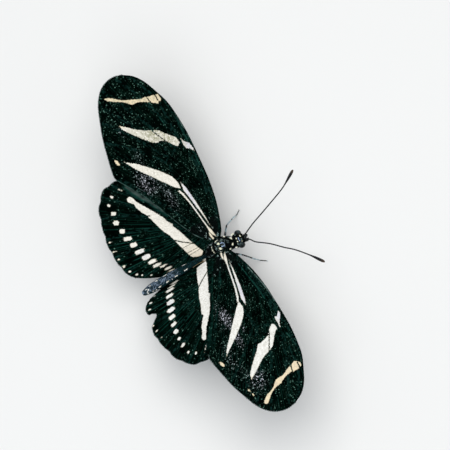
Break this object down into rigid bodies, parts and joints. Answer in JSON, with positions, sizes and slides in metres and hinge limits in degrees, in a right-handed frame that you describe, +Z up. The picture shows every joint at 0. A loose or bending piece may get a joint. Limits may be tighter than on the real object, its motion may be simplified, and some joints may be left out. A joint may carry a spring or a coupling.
{
  "type": "zebra longwing butterfly model",
  "caption": "Life-size zebra longwing butterfly standing on its legs with its long black wings spread, barred and spotted in cream, with slender feelers and a thin ringed abdomen.",
  "frame": {"origin": "On the floor, under the middle of the outer box", "axes": "+Z up, the head points to -Y, the animal's left wing to +X"},
  "size_m": [0.0876, 0.0452, 0.0208],
  "materials": {
    "wing_scales": "velvety black scales with cream bars and spots",
    "body_hair": "short black hair with pale yellow spots",
    "abdomen_scales": "blue-grey to black scales with small pale spots",
    "antenna_scales": "smooth black",
    "eye": "glossy black with fine facets",
    "leg_cuticle": "satin black"
  },
  "bodies": {
    "root": {"forewing_left": "wing_scales", "forewing_right": "wing_scales", "hindwing_left": "wing_scales", "hindwing_right": "wing_scales", "thorax": "body_hair", "head": "body_hair", "palp_left": "body_hair", "palp_right": "body_hair", "abdomen": "abdomen_scales", "antenna_left": "antenna_scales", "antenna_right": "antenna_scales", "eye_left": "eye", "eye_right": "eye", "foreleg_left": "leg_cuticle", "foreleg_right": "leg_cuticle", "midleg_left": "leg_cuticle", "midleg_right": "leg_cuticle", "hindleg_left": "leg_cuticle", "hindleg_right": "leg_cuticle", "proboscis": "leg_cuticle"}
  },
  "joints": []
}
